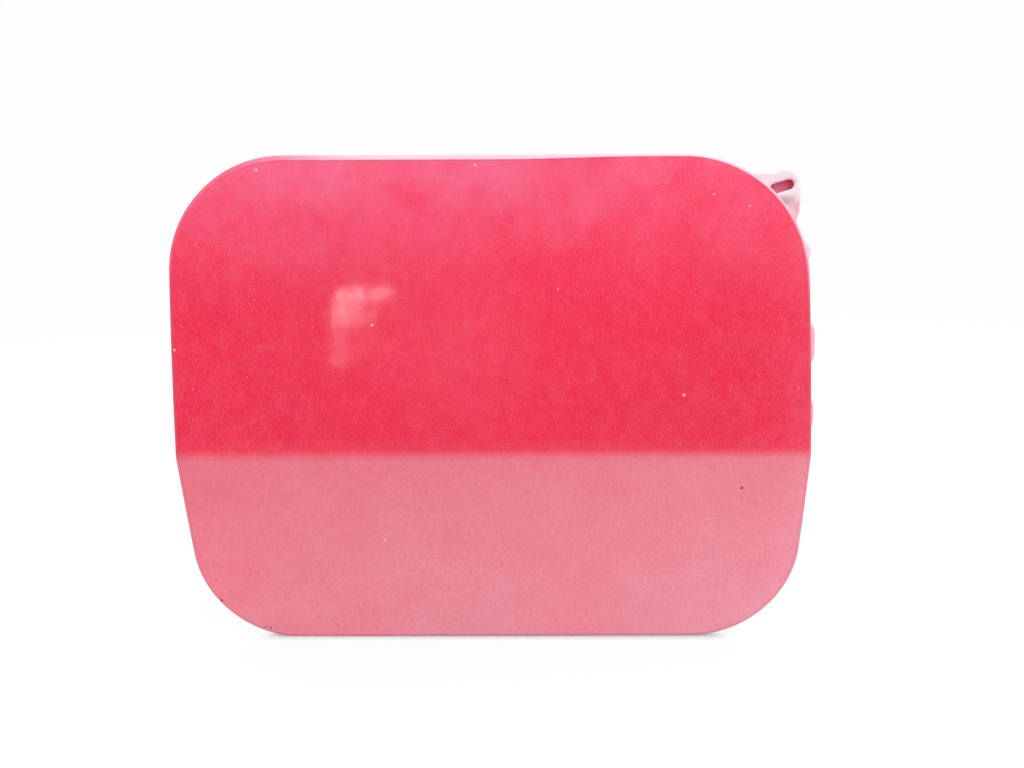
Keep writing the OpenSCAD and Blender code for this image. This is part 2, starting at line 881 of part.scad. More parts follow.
// Torsion spring round the pin, between the door's knuckles.
module torsion_spring() {
    color(steel_color)
        in_frame()
            translate([pin_x, pin_y, 0])
                swept(wire_line(), wire_r, wire_sides);
}

// Rubber pad on the stop tab, which meets the door's hem when it is fully open.
module stop_pad() {
    color(rubber_color)
        in_frame()
            translate([stop_tip, stop_y - 1, stop_z - stop_w / 2])
                cube([stop_pad_t, bracket_t + 2, stop_w]);
}

outer_panel();
inner_liner();
mastic_pads();
hinge_leaf();
leaf_rivets();
upper_bush();
lower_bush();
catch_hook();
catch_rivets();
upper_buffer();
lower_buffer();
base_bracket();
ear_backing();
hinge_pin();
pin_clip();
torsion_spring();
stop_pad();
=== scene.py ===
import math

import bmesh
import bpy
from mathutils import Matrix, Vector
from mathutils.geometry import delaunay_2d_cdt


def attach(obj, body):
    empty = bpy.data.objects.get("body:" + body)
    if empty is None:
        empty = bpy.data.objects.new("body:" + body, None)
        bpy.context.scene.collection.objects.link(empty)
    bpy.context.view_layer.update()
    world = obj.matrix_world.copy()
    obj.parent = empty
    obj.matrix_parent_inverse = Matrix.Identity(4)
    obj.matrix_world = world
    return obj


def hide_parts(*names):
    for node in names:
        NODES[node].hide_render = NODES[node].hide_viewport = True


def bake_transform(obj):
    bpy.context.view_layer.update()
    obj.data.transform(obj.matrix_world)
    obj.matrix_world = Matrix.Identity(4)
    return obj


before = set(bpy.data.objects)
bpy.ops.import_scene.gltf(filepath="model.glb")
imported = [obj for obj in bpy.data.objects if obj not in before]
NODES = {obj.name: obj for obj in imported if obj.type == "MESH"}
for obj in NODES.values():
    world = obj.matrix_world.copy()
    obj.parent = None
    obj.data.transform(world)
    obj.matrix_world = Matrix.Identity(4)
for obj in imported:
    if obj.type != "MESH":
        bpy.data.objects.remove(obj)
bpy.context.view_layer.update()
scene = bpy.context.scene

MM = 0.001

# Door coordinates in millimetres: x across from the door's middle, y depth behind the
# upper facet's outer face, z above the crease. The row frame starts at the bolt pattern.
BOLT_X = 98.2
FOOT_BACK = 28.0
BOLT_MID = 38.5


def row(x, y, z):
    return Vector(((x - BOLT_X) * MM, (y - FOOT_BACK) * MM, (z - BOLT_MID) * MM))


# Door outline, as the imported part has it
DOOR_W = 201.6
UPPER_H = 94.2
LOWER_H = 65.2
CREASE = math.radians(16)
CREASE_R = 5.0
CORNERS = {(1, 1): 39.5, (-1, 1): 36.0, (-1, -1): 33.3, (1, -1): 33.7}
BOW_R = 1800.0
BOW_Z = {1: -16.0, -1: 42.0}
SKIN_T = 0.8
LINER_T = 0.7
FOLD = SKIN_T + LINER_T
HEM_LEVEL = FOLD + SKIN_T
HEM_W = 8.0
CROWN = 0.25


def corner(side, end):
    """Centre, radius and tangent angle of a corner arc; end is 1 at the top, -1 below."""
    r = CORNERS[(side, end)]
    z = UPPER_H - r if end > 0 else r - LOWER_H
    cx = side * (DOOR_W / 2 - BOW_R)
    x = cx + side * math.sqrt((BOW_R - r) ** 2 - (z - BOW_Z[side]) ** 2)
    tangent = math.asin((z - BOW_Z[side]) / (BOW_R - r))
    return x, z, r, tangent


def x_end(side, z, d):
    """Where the outline set in by d crosses height z on one side."""
    for end in (1, -1):
        cx, cz, r, tangent = corner(side, end)
        if end * (z - (cz + (r - d) * math.sin(tangent))) > 0:
            return cx + side * math.sqrt(max((r - d) ** 2 - (z - cz) ** 2, 0))
    cx = side * (DOOR_W / 2 - BOW_R)
    return cx + side * math.sqrt((BOW_R - d) ** 2 - (z - BOW_Z[side]) ** 2)


TOP_MID = min(UPPER_H - CORNERS[(1, 1)], UPPER_H - CORNERS[(-1, 1)])
LOW_MID = max(CORNERS[(1, -1)] - LOWER_H, CORNERS[(-1, -1)] - LOWER_H)


def row_z(z0, d):
    """Height of a row that is at z0 on the outline, in the outline set in by d."""
    if z0 > TOP_MID:
        return TOP_MID + (z0 - TOP_MID) * (UPPER_H - d - TOP_MID) / (UPPER_H - TOP_MID)
    if z0 < LOW_MID:
        return LOW_MID - (LOW_MID - z0) * (LOW_MID + LOWER_H - d) / (LOW_MID + LOWER_H)
    return z0


def depth_at(t, z):
    """Depth of the creased sheet's layer t at height z."""
    r = max(CREASE_R - t, 0)
    yc = t + r
    zc = yc * math.tan(CREASE / 2)
    if z >= zc:
        return t
    if z >= zc - r * math.sin(CREASE):
        return yc - math.sqrt(r * r - (z - zc) ** 2)
    return yc - r * math.cos(CREASE) + (zc - r * math.sin(CREASE) - z) * math.tan(CREASE)


def smooth(value, low, high):
    t = min(max((value - low) / (high - low), 0), 1)
    return t * t * (3 - 2 * t)


def crown(x, z):
    """Slight pressed crown of the skin: its edges lie a little deeper than its middle."""
    return CROWN * (x / (DOOR_W / 2)) ** 2 * 0.8 + CROWN * max(z / UPPER_H, 0) ** 3 * 0.2


def mesh_object(name, verts, faces, sharp=40):
    me = bpy.data.meshes.new(name)
    me.from_pydata([tuple(v) for v in verts], [], faces)
    bm = bmesh.new()
    bm.from_mesh(me)
    bmesh.ops.recalc_face_normals(bm, faces=bm.faces)
    bm.to_mesh(me)
    bm.free()
    me.polygons.foreach_set("use_smooth", [True] * len(me.polygons))
    me.set_sharp_from_angle(angle=math.radians(sharp))
    ob = bpy.data.objects.new(name, me)
    scene.collection.objects.link(ob)
    return ob


CORNER_ROWS = 26
ROW_STEP = 3.2
CREASE_ROWS = [1.8 - 0.2 * i for i in range(17)]


def even_rows(start, end):
    rows = []
    while start > end:
        rows.append(start)
        start -= ROW_STEP
    return rows


def door_rows():
    """Heights of the skin's rows, closer together round the corners and over the crease."""
    turn = [math.pi / 2 * i / CORNER_ROWS for i in range(CORNER_ROWS + 1)]
    top = [TOP_MID + (UPPER_H - TOP_MID) * math.cos(a) for a in turn[:-1]]
    low = [LOW_MID - (LOW_MID + LOWER_H) * math.sin(a) for a in turn[1:]]
    between = even_rows(TOP_MID, 3) + CREASE_ROWS + even_rows(-3, LOW_MID + 0.5)
    return top + between + [LOW_MID] + low


def perimeter(rows, cols):
    """The outline once round, from the top left: pairs of height and share of the width."""
    loop = [(rows[0], j / cols) for j in range(cols + 1)]
    loop += [(z, 1.0) for z in rows[1:]]
    loop += [(rows[-1], j / cols) for j in range(cols - 1, -1, -1)]
    return loop + [(z, 0.0) for z in reversed(rows[1:-1])]


SKIN_COLS = 48
ROLL_STEPS = 10
FOLD_IN = 1.2
FOLD_GAP = 0.02


def outer_skin():
    """The outer skin as one closed sheet: creased face, rolled edge and folded hem."""
    rows = door_rows()
    cols = SKIN_COLS
    loop = perimeter(rows, cols)
    roll = HEM_LEVEL / 2

    def shoulder(z0, u):
        """How far in the rolled edge starts; further along the top, as in the photograph."""
        return 1.35 + 0.95 * smooth(z0, 74, 94) * (1 - smooth(u, 0.55, 0.9))

    def point(z0, u, d, t):
        z = row_z(z0, d)
        left, right = x_end(-1, z, d), x_end(1, z, d)
        x = left + (right - left) * u
        return row(x, depth_at(t, z) + crown(x, z), z)

    verts, faces = [], []

    def grid(inward, t):
        """Adds one layer of the face and returns its edge, in the loop's order."""
        start = len(verts)
        n = cols + 1
        for z in rows:
            for j in range(n):
                verts.append(point(z, j / cols, inward(z, j / cols), t))
        for i in range(len(rows) - 1):
            for j in range(cols):
                a = start + i * n + j
                faces.append((a, a + 1, a + n + 1, a + n))
        last = len(rows) - 1
        edge = [start + j for j in range(n)]
        edge += [start + i * n + cols for i in range(1, last + 1)]
        edge += [start + last * n + j for j in range(cols - 1, -1, -1)]
        edge += [start + i * n for i in range(last - 1, 0, -1)]
        return edge

    rings = [grid(shoulder, 0)]
    section = []
    half = ROLL_STEPS / 2
    for k in range(1, ROLL_STEPS + 1):
        a = math.pi * k / ROLL_STEPS
        share = 1 - math.sin(a)
        section.append((share if k < half else share * roll, roll - roll * math.cos(a)))
    section += [
        (3, HEM_LEVEL), (HEM_W - 0.35, HEM_LEVEL), (HEM_W - 0.1, HEM_LEVEL - 0.1),
        (HEM_W, HEM_LEVEL - 0.35), (HEM_W, FOLD + FOLD_GAP),
        (FOLD_IN + 0.2, FOLD + FOLD_GAP), (FOLD_IN, SKIN_T + FOLD_GAP),
    ]
    for k, (d, t) in enumerate(section, 1):
        start = len(verts)
        verts.extend(point(z, u, d * shoulder(z, u) if k < half else d, t) for z, u in loop)
        rings.append(list(range(start, start + len(loop))))
    rings.append(grid(lambda z, u: FOLD_IN, SKIN_T))
    for a, b in zip(rings, rings[1:]):
        for i in range(len(a)):
            k = (i + 1) % len(a)
            faces.append((a[i], a[k], b[k], b[i]))
    ob = mesh_object("outer_panel_skin", verts, faces, 50)
    # The paint reads this: 0 on the face, rising to 1 on the outline, falling again behind
    rim = ob.data.attributes.new("rim", "FLOAT", "POINT")
    share = [0.0] * len(verts)
    for k in range(1, ROLL_STEPS):
        for i in rings[k]:
            share[i] = 1 - (k - half) / half if k > half + 1 else min(k / half, 1)
    rim.data.foreach_set("value", share)
    return ob


# Materials


class Graph:
    """Builds the nodes of a new material, or of a new world, in short calls."""

    def __init__(self, name, world=False):
        self.mat = (bpy.data.worlds if world else bpy.data.materials).new(name)
        self.mat.use_nodes = True
        self.tree = self.mat.node_tree
        self.tree.nodes.clear()
        self.out = self.node("ShaderNodeOutputWorld" if world else "ShaderNodeOutputMaterial")
        coord = self.node("ShaderNodeTexCoord")
        self.coord = coord.outputs["Generated" if world else "Object"]

    def link(self, value, socket):
        if isinstance(value, bpy.types.NodeSocket):
            self.tree.links.new(value, socket)
        elif value is not None:
            socket.default_value = value

    def node(self, kind, inputs=None, **props):
        n = self.tree.nodes.new(kind)
        for key, value in props.items():
            setattr(n, key, value)
        for key, value in (inputs or {}).items():
            self.link(value, n.inputs[key])
        return n

    def math(self, op, a, b=None, c=None, clamp=False):
        n = self.node("ShaderNodeMath", operation=op, use_clamp=clamp)
        for i, value in enumerate((a, b, c)):
            self.link(value, n.inputs[i])
        return n.outputs[0]

    def plus(self, a, b):
        return self.math("ADD", a, b)

    def times(self, a, b):
        return self.math("MULTIPLY", a, b)

    def ramp(self, value, low, high, to_low=0.0, to_high=1.0, smooth=True):
        """Value mapped from low..high to to_low..to_high and held at both ends."""
        inputs = {
            "Value": value, "From Min": low, "From Max": high, "To Min": to_low, "To Max": to_high,
        }
        kind = "SMOOTHSTEP" if smooth else "LINEAR"
        return self.node("ShaderNodeMapRange", inputs, interpolation_type=kind).outputs[0]

    def noise(self, scale, detail=3.0, rough=0.5, stretch=None, seed=(0, 0, 0), turn=0.0):
        """Noise that can be drawn out by stretch, after a turn in degrees in the door's plane."""
        place = self.coord
        if turn:
            spin = {"Vector": place, "Rotation": (0, math.radians(turn), 0)}
            place = self.node("ShaderNodeMapping", spin).outputs[0]
        shift = {"Vector": place, "Location": seed, "Scale": stretch or (1, 1, 1)}
        place = self.node("ShaderNodeMapping", shift).outputs[0]
        inputs = {"Vector": place, "Scale": scale, "Detail": detail, "Roughness": rough}
        return self.node("ShaderNodeTexNoise", inputs).outputs["Fac"]

    def mix(self, fac, a, b):
        n = self.node("ShaderNodeMix", data_type="RGBA")
        self.link(fac, n.inputs[0])
        self.link(a if isinstance(a, bpy.types.NodeSocket) else (*a, 1), n.inputs[6])
        self.link(b if isinstance(b, bpy.types.NodeSocket) else (*b, 1), n.inputs[7])
        return n.outputs[2]

    def bump(self, height, distance, strength=1.0, normal=None):
        inputs = {"Height": height, "Distance": distance, "Strength": strength, "Normal": normal}
        return self.node("ShaderNodeBump", inputs).outputs[0]

    def soft_edges(self, radius):
        return self.node("ShaderNodeBevel", {"Radius": radius * MM}, samples=6).outputs[0]

    def wear(self, radius):
        """1 where an edge is, from how far the rounded normal leaves the true one."""
        true = self.node("ShaderNodeNewGeometry").outputs["True Normal"]
        pair = {0: self.soft_edges(radius), 1: true}
        dot = self.node("ShaderNodeVectorMath", pair, operation="DOT_PRODUCT")
        return self.ramp(dot.outputs["Value"], 0.93, 0.99, 1.0, 0.0)

    def near(self, point, radius, wobble=0.6, scale=900.0, core=0.85):
        """1 inside a small ragged spot about a point, fading out from core of its radius."""
        dist = self.node("ShaderNodeVectorMath", {0: self.coord, 1: point}, operation="DISTANCE")
        reach = wobble * radius
        ragged = self.math("MULTIPLY_ADD", self.noise(scale, 2), reach * 2, -reach)
        far = self.plus(dist.outputs["Value"], ragged)
        return self.ramp(far, radius * core, radius, 1.0, 0.0)

    def seen_directly(self):
        """1 for camera, glossy and transmission rays, which see the white background."""
        path = self.node("ShaderNodeLightPath")
        seen = path.outputs["Is Camera Ray"]
        for kind in ("Is Glossy Ray", "Is Transmission Ray"):
            seen = self.math("MAXIMUM", seen, path.outputs[kind])
        return seen

    def surface(self, shader):
        self.tree.links.new(shader.outputs[0], self.out.inputs["Surface"])

    def principled(self, **inputs):
        named = {key.replace("_", " "): value for key, value in inputs.items()}
        self.surface(self.node("ShaderNodeBsdfPrincipled", named))


CRIMSON = (0.81, 0.008, 0.056)
CRIMSON_DEEP = (0.68, 0.006, 0.043)
CRIMSON_PALE = (0.92, 0.30, 0.38)
CRIMSON_LOW_SHADE = (0.62, 0.008, 0.050)
SPECK_DARK = (0.55, 0.004, 0.035)
SMUDGE_SHEEN = (0.93, 0.40, 0.70)
DUST_AND_SHEEN = (0.92, 0.84, 0.97)
WIPE = (0.95, 0.45, 0.58)
DUST = (0.95, 0.55, 0.62)
CHIP = (0.95, 0.62, 0.70)
NICK = (0.12, 0.02, 0.04)
RIM_BEND_SHADE = (0.42, 0.07, 0.16)
RIM_SHADE = (0.42, 0.16, 0.24)
RIM_LIT = (0.97, 0.60, 0.73)
PALE_COAT_SHEEN = (0.81, 0.75, 0.80)
EDGE_HIGHLIGHT_HIGH = (0.97, 0.90, 0.93)
EDGE_SHADE_LOW = (0.62, 0.26, 0.33)
BRACKET_SHADE_LOW = (0.96, 0.46, 0.55)
DOOR_SHADE_EDGE = (0.90, 0.30, 0.40)
THIN_EDGE = (0.93, 0.50, 0.58)
NOTCH_SHADE = (0.88, 0.30, 0.40)
BRIGHT_STEEL = (0.92, 0.92, 0.94)


def on_door(px, py):
    """Point of the door's face that a pixel of the photograph shows."""
    cam, right, up, forward = CAMERA
    ray = forward * FOCAL + right * (px - PHOTO_W / 2) - up * (py - PHOTO_H / 2)
    for normal, upper in ((UPPER_NORMAL, True), (LOWER_NORMAL, False)):
        p = cam + ray * (-normal.dot(cam) / normal.dot(ray))
        if (p.z >= 0) == upper:
            break
    return row(*p)


# Camera: its place, right, up and forward in door coordinates, its focal length in pixels
PHOTO_W, PHOTO_H = 1024, 768
FOCAL = 782.0
SENSOR_W = 36
CAMERA = (
    Vector((6.164, -244.554, 37.10)),
    Vector((0.99999, -0.00025, -0.00436)),
    Vector((0.00436, 0.05756, 0.99833)),
    Vector((0.0, 0.99834, -0.05756)),
)
WORLD_UP = Vector((0.0042, -0.2113, 0.9774)).normalized()
FLOOR_LEVEL = -67.4

# Outward normals of the door's two facets, which meet at z = 0
UPPER_NORMAL = Vector((0, -1, 0))
LOWER_NORMAL = Vector((0, -math.cos(CREASE), -math.sin(CREASE)))

# Paint flaws: pixel of the photograph, radius in millimetres
CHIPS = (
    (256, 170, 0.5), (475, 165, 0.4), (684, 395, 0.5), (714, 194, 0.35), (750, 206, 0.4),
    (558, 289, 0.25), (385, 540, 0.4), (372, 325, 0.5), (174, 350, 0.5),
)

PIT = (742, 488, 0.45)
NICKS = ((221.5, 600.5, 0.5), (271, 628, 0.45), (266, 627, 0.3))
DULL_SPOT = (455, 345, 34)


def body_paint():
    """Gloss crimson with cloudy patches of painted reflection, a lower facet both dusty and
    painted with a reflection of the floor, painted shade towards the crease, fine scratches and
    small chips.
    """
    g = Graph("body_paint")
    place = g.node("ShaderNodeSeparateXYZ", {"Vector": g.coord}).outputs
    across, height = place["X"], place["Z"]
    crease = row(0, 0, 0).z

    def up(low, high, to_low=0.0, to_high=1.0, smooth=True):
        """Ramp over the height above the crease, in metres."""
        return g.ramp(height, crease + low, crease + high, to_low, to_high, smooth)

    def spots(marks, wobble=0.6):
        """1 inside any of the marks, each a pixel and a radius in millimetres."""
        found = None
        for px, py, radius in marks:
            spot = g.near(on_door(px, py), radius * MM, wobble)
            found = spot if found is None else g.math("MAXIMUM", found, spot)
        return found

    # Deeper red in random clouds, and a painted shade that deepens towards the crease from both
    # facets
    cloud = g.noise(16, 5, 0.6)
    blotch = g.noise(70, 4, 0.55, seed=(3, 1, 2))
    patches = g.math("MULTIPLY_ADD", blotch, 0.5, g.times(cloud, 0.8))
    crease_shade_and_clouds = up(0, 0.09, 0.55, 0.0, smooth=False)
    crease_shade_and_clouds = g.times(crease_shade_and_clouds, up(-0.06, -0.001, 0.45, 1.0, smooth=False))
    crease_shade_and_clouds = g.math("MULTIPLY_ADD", g.ramp(cloud, 0.3, 0.75), 0.5, crease_shade_and_clouds, clamp=True)
    colour = g.mix(crease_shade_and_clouds, CRIMSON, CRIMSON_DEEP)

    # Pale flakes, dark specks, pale cloudy patches that grow into a painted reflection towards the
    # top, mottling, and painted shade on the lower facet
    flake = g.noise(1500, 2, 0.7, seed=(8, 2, 4))
    colour = g.mix(g.ramp(flake, 0.42, 0.72, 0.0, 0.10), colour, CRIMSON_PALE)
    speck = g.noise(1000, 3, 0.75, seed=(1, 7, 3))
    colour = g.mix(g.ramp(speck, 0.34, 0.52, 0.15, 0.0), colour, SPECK_DARK)
    # Painted reflection: pale pink in cloudy patches, stronger towards the top
    smudge_and_top_sheen = g.times(g.ramp(patches, 0.46, 0.84, 0.35, 1.08), up(0.042, 0.099, 0.02, 1.0))
    colour = g.mix(g.times(smudge_and_top_sheen, 0.25), colour, SMUDGE_SHEEN)
    mottle = g.noise(230, 4, 0.65, seed=(6, 3, 8))
    colour = g.mix(g.ramp(mottle, 0.40, 0.70, 0.0, 0.045), colour, CRIMSON_PALE)
    # Painted shade: the lower facet, turned down from the light, is darkened
    below = up(0.0026, -0.0018)
    colour = g.mix(g.times(below, 0.15), colour, CRIMSON_LOW_SHADE)

    # Pale film on the lower facet, partly dust in patches and partly a painted reflection of the
    # floor, stronger towards the bottom and painted lighter towards the hinge side; a thinner
    # painted highlight over the crease and by the hinge, and a little on a dull spot
    film = g.times(g.ramp(patches, 0.45, 0.95, 0.85, 1.1), g.ramp(speck, 0.32, 0.66, 0.90, 1.12))
    side = g.ramp(across, -0.20, 0.0, 0.176, 0.245, smooth=False)
    low = up(-0.065, 0, 1.25, 0.82, smooth=False)
    dust_and_floor_sheen = g.times(g.times(below, low), g.times(film, side))
    dust_and_floor_sheen = g.plus(dust_and_floor_sheen, up(0.007, 0.0008, 0.0, 0.022))
    dust_and_floor_sheen = g.plus(dust_and_floor_sheen, g.ramp(across, -0.014, 0.002, 0.0, 0.022))
    px, py, radius = DULL_SPOT
    dull = g.near(on_door(px, py), radius * MM, 0.5, 30, 0.1)
    dust_and_floor_sheen = g.plus(dust_and_floor_sheen, g.times(dull, 0.02))
    colour = g.mix(dust_and_floor_sheen, colour, DUST_AND_SHEEN)

    # Scratches along the door, slanting wiping marks, grains of dust
    fine = g.noise(520, 2, 0.6, stretch=(0.02, 1, 1), seed=(0, 5, 0))
    where = g.ramp(g.noise(34, 3, seed=(9, 0, 0)), 0.50, 0.62)
    scratch = g.times(g.ramp(fine, 0.66, 0.72), where)
    colour = g.mix(g.times(scratch, 0.10), colour, CRIMSON_PALE)
    wipes = g.noise(430, 2, 0.6, stretch=(0.03, 1, 1), seed=(2, 5, 6), turn=58)
    where = g.ramp(g.noise(26, 3, seed=(1, 4, 2)), 0.48, 0.62)
    wiped = g.times(g.ramp(wipes, 0.64, 0.72), where)
    colour = g.mix(g.times(wiped, 0.07), colour, WIPE)
    dust = g.ramp(g.noise(1100, 1, 0.4, seed=(4, 4, 4)), 0.79, 0.84)
    colour = g.mix(g.times(dust, 0.35), colour, DUST)

    # Rolled edge: a painted shade line where it starts, painted shade low down, a painted
    # highlight along the top
    rim = g.node("ShaderNodeAttribute", attribute_name="rim", attribute_type="GEOMETRY")
    rim = rim.outputs["Fac"]
    bend_shade = g.times(g.ramp(rim, 0.01, 0.05), g.ramp(rim, 0.12, 0.06))
    colour = g.mix(g.times(bend_shade, 0.6), colour, RIM_BEND_SHADE)
    shaded = g.times(g.ramp(rim, 0.12, 0.3, 0.0, 0.3), up(0.06, 0.04))
    colour = g.mix(shaded, colour, RIM_SHADE)
    lit = g.times(g.ramp(across, -0.185, -0.13, 0.0, 0.9), up(0.045, 0.07))
    lit = g.times(lit, g.ramp(across, -0.035, -0.008, 1.0, 0.65))
    lit = g.times(lit, g.ramp(rim, 0.10, 0.22))
    colour = g.mix(lit, colour, RIM_LIT)

    # Chips and nicks
    chips = spots(CHIPS)
    colour = g.mix(g.times(chips, 0.5), colour, CHIP)
    colour = g.mix(g.math("MAXIMUM", spots((PIT,)), spots(NICKS, 0.8)), colour, NICK)

    # Relief, and a lacquer whose gloss is uneven
    peel = g.noise(420, 2, 0.5)
    flaws = g.plus(g.times(scratch, 0.3), chips)
    normal = g.bump(g.math("SUBTRACT", g.times(peel, 0.10), flaws), 0.02 * MM)
    rough = g.plus(g.ramp(blotch, 0.3, 0.7, 0.34, 0.46), g.times(chips, 0.3))
    gloss = g.ramp(g.noise(650, 3, 0.7, seed=(5, 5, 0)), 0.30, 0.62, 0.80, 1.0)
    patchy = g.ramp(g.noise(170, 4, 0.65, seed=(3, 9, 5)), 0.36, 0.58, 0.70, 1.0)
    broken = g.ramp(g.noise(420, 3, 0.6, seed=(7, 7, 1)), 0.42, 0.66, 0.0, 0.05)
    coat_rough = g.plus(g.ramp(patches, 0.35, 0.85, 0.03, 0.06), broken)
    g.principled(
        Base_Color=colour, Roughness=rough, Normal=normal, Specular_IOR_Level=0.05,
        Coat_Weight=g.times(gloss, patchy), Coat_Roughness=coat_rough, Coat_IOR=1.4,
        Coat_Normal=normal,
    )
    return g.mat


def thin_paint(name, pale, radius, low_shade=None, over=None, bare=()):
    """Crimson under a thin uneven coat, rubbed on its edges; pale is 0 to 1.

    The colour given for low down is a painted shade: above it the pale coat is a painted
    reflection that grows paler upwards, and the edges take a painted highlight up high and painted
    shade low down. The spots listed last are painted shade, where the pale coat gives way."""
    g = Graph(name)
    cloud = g.noise(40, 4, 0.55)
    grain = g.noise(900, 2, 0.6)
    base = g.mix(g.ramp(cloud, 0.3, 0.7), CRIMSON, CRIMSON_DEEP)
    over = over or PALE_COAT_SHEEN
    rim = THIN_EDGE
    pale_coat_and_sheen = g.ramp(cloud, 0.25, 0.75, pale * 0.85, min(pale * 1.1, 1))
    # On the bracket the pale coat is a painted reflection and its colour low down a painted shade;
    # its edges take a painted highlight up high and painted shade low down
    if low_shade:
        place = g.node("ShaderNodeSeparateXYZ", {"Vector": g.coord}).outputs
        up = g.ramp(place["Z"], 0.010, 0.036)
        over = g.mix(up, low_shade, PALE_COAT_SHEEN)
        rim = g.mix(up, EDGE_SHADE_LOW, EDGE_HIGHLIGHT_HIGH)
        # Behind the door's edge the pale coat, a painted reflection, ends in a ragged line, and
        # the edges there take a painted shade where the door covers the bracket
        ragged = g.math("MULTIPLY_ADD", g.noise(120, 4, 0.6, seed=(5, 2, 9)), 0.012, place["X"])
        out = g.math("MAXIMUM", g.ramp(ragged, -0.002, 0.008), g.ramp(place["Z"], 0.042, 0.045))
        pale_coat_and_sheen = g.times(pale_coat_and_sheen, g.math("MULTIPLY_ADD", out, 0.88, 0.12))
        rim = g.mix(out, DOOR_SHADE_EDGE, rim)
    base = g.mix(pale_coat_and_sheen, base, over)
    base = g.mix(g.times(g.wear(radius), 0.6), base, rim)
    # Painted shade: in each listed spot the pale coat gives way to a deeper pink
    for place, size in bare:
        spot = g.near(row(*place), size * MM, 0.5, 400, 0.2)
        base = g.mix(g.times(spot, 0.75), base, NOTCH_SHADE)
    relief = g.plus(grain, g.times(cloud, 2))
    normal = g.bump(relief, 0.02 * MM, 0.5, g.soft_edges(radius))
    g.principled(
        Base_Color=base, Roughness=g.ramp(cloud, 0.3, 0.7, 0.32, 0.5), Normal=normal,
        Coat_Weight=0.4, Coat_Roughness=0.2, Coat_Normal=normal,
    )
    return g.mat


def plain_metal(name, colour, rough, radius=0.2):
    """Zinc-plated or bare steel with a fine grain, tarnish and bright edges."""
    g = Graph(name)
    grain = g.noise(1500, 3, 0.6)
    stain = g.noise(130, 4, 0.6, seed=(2, 2, 5))
    dull = tuple(c * 0.55 for c in colour)
    base = g.mix(g.ramp(stain, 0.35, 0.75), colour, dull)
    base = g.mix(g.times(g.wear(radius), 0.5), base, BRIGHT_STEEL)
    level = g.plus(g.ramp(stain, 0.3, 0.8, rough, rough + 0.22), g.times(grain, 0.1))
    normal = g.bump(grain, 0.01 * MM, 0.6, g.soft_edges(radius))
    g.principled(Base_Color=base, Metallic=1.0, Roughness=level, Normal=normal)
    return g.mat


def soft_plastic(name, colour, lighter, rough):
    """Moulded rubber, nylon or mastic with a matt grain and rubbed edges."""
    radius = 0.3
    g = Graph(name)
    grain = g.noise(1100, 3, 0.6)
    stain = g.noise(160, 4, 0.55, seed=(6, 1, 1))
    base = g.mix(g.ramp(stain, 0.35, 0.75), colour, lighter)
    base = g.mix(g.times(g.wear(radius), 0.35), base, lighter)
    normal = g.bump(grain, 0.03 * MM, 0.6, g.soft_edges(radius))
    rough = g.ramp(stain, 0.3, 0.8, rough, rough + 0.15)
    g.principled(Base_Color=base, Roughness=rough, Normal=normal, Specular_IOR_Level=0.4)
    return g.mat


def paint_nodes(mat, *names):
    """Gives CAD nodes that stay as they are a better material."""
    for name in names:
        me = NODES[name].data
        me.materials.clear()
        me.materials.append(mat)


BODY = body_paint()
LINER = thin_paint("liner_paint", 0.03, 0.8)
# Spots of painted shade in the notch below the ear, each a place and a radius
NOTCH_SHADE_SPOTS = (((103.9, 26.5, 81.8), 3.6), ((103.4, 26.5, 79.0), 3.4))
HINGE = thin_paint("hinge_paint", 1.0, 0.8, low_shade=BRACKET_SHADE_LOW, bare=NOTCH_SHADE_SPOTS)
# The backing seen through the ear's slot: crimson under a pink coat, partly its own paint and
# partly a painted shade standing in for the shaded gap behind the slot
SLOT_BACKING_SHADE = thin_paint("slot_shade_paint", 1.0, 0.3, over=(1.0, 0.20, 0.34))
ZINC = plain_metal("plated_steel", (0.72, 0.73, 0.76), 0.24)
RIVET = plain_metal("rivet_steel", (0.62, 0.63, 0.66), 0.3)
WIRE = plain_metal("spring_steel", (0.42, 0.43, 0.46), 0.28, 0.1)
RUBBER = soft_plastic("rubber", (0.022, 0.022, 0.024), (0.07, 0.07, 0.072), 0.62)
NYLON = soft_plastic("nylon", (0.80, 0.77, 0.68), (0.88, 0.86, 0.8), 0.4)
MASTIC = soft_plastic("mastic", (0.09, 0.085, 0.08), (0.16, 0.15, 0.14), 0.75)

paint_nodes(SLOT_BACKING_SHADE, "ear_backing")
paint_nodes(ZINC, "hinge_pin", "pin_clip")
paint_nodes(RIVET, "leaf_rivets", "catch_rivets")
paint_nodes(NYLON, "upper_bush", "lower_bush")
paint_nodes(MASTIC, "mastic_pads")

skin = outer_skin()
skin.data.materials.append(BODY)
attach(skin, "door")
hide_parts("outer_panel")


# Inner liner: one sheet with drafted walls, triangulated between the lines of its form

FRAME_INSET = 11.0
FRAME_LEVEL = 6.2
PAN_INSET = 31.0
PAN_LEVEL = 3.4
PAN_EDGE_X = 43.4
ROOM_X = 79.18
ROOM_LOW, ROOM_HIGH = 5.0, 77.9
BEAD_X, BEAD_L, BEAD_W, BEAD_RISE = -22.18, 74.0, 9.0, 1.7
BEAD_ZS = (13.54, 39.54)
ACCESS_X, ACCESS_Z, ACCESS_R = 24.19, -18.26, 8.5
DRAIN_R = 3.0
STEM_HOLE_R = 2.55
BUFFER_X = -80.8
BUFFER_ZS = (60.0, -36.0)
LINER_FOOT = 0.85
LINER_COLS = 60
CIRCLE_SIDES = 48
# How far before its line a pressed wall starts to turn
LEAD = 0.2


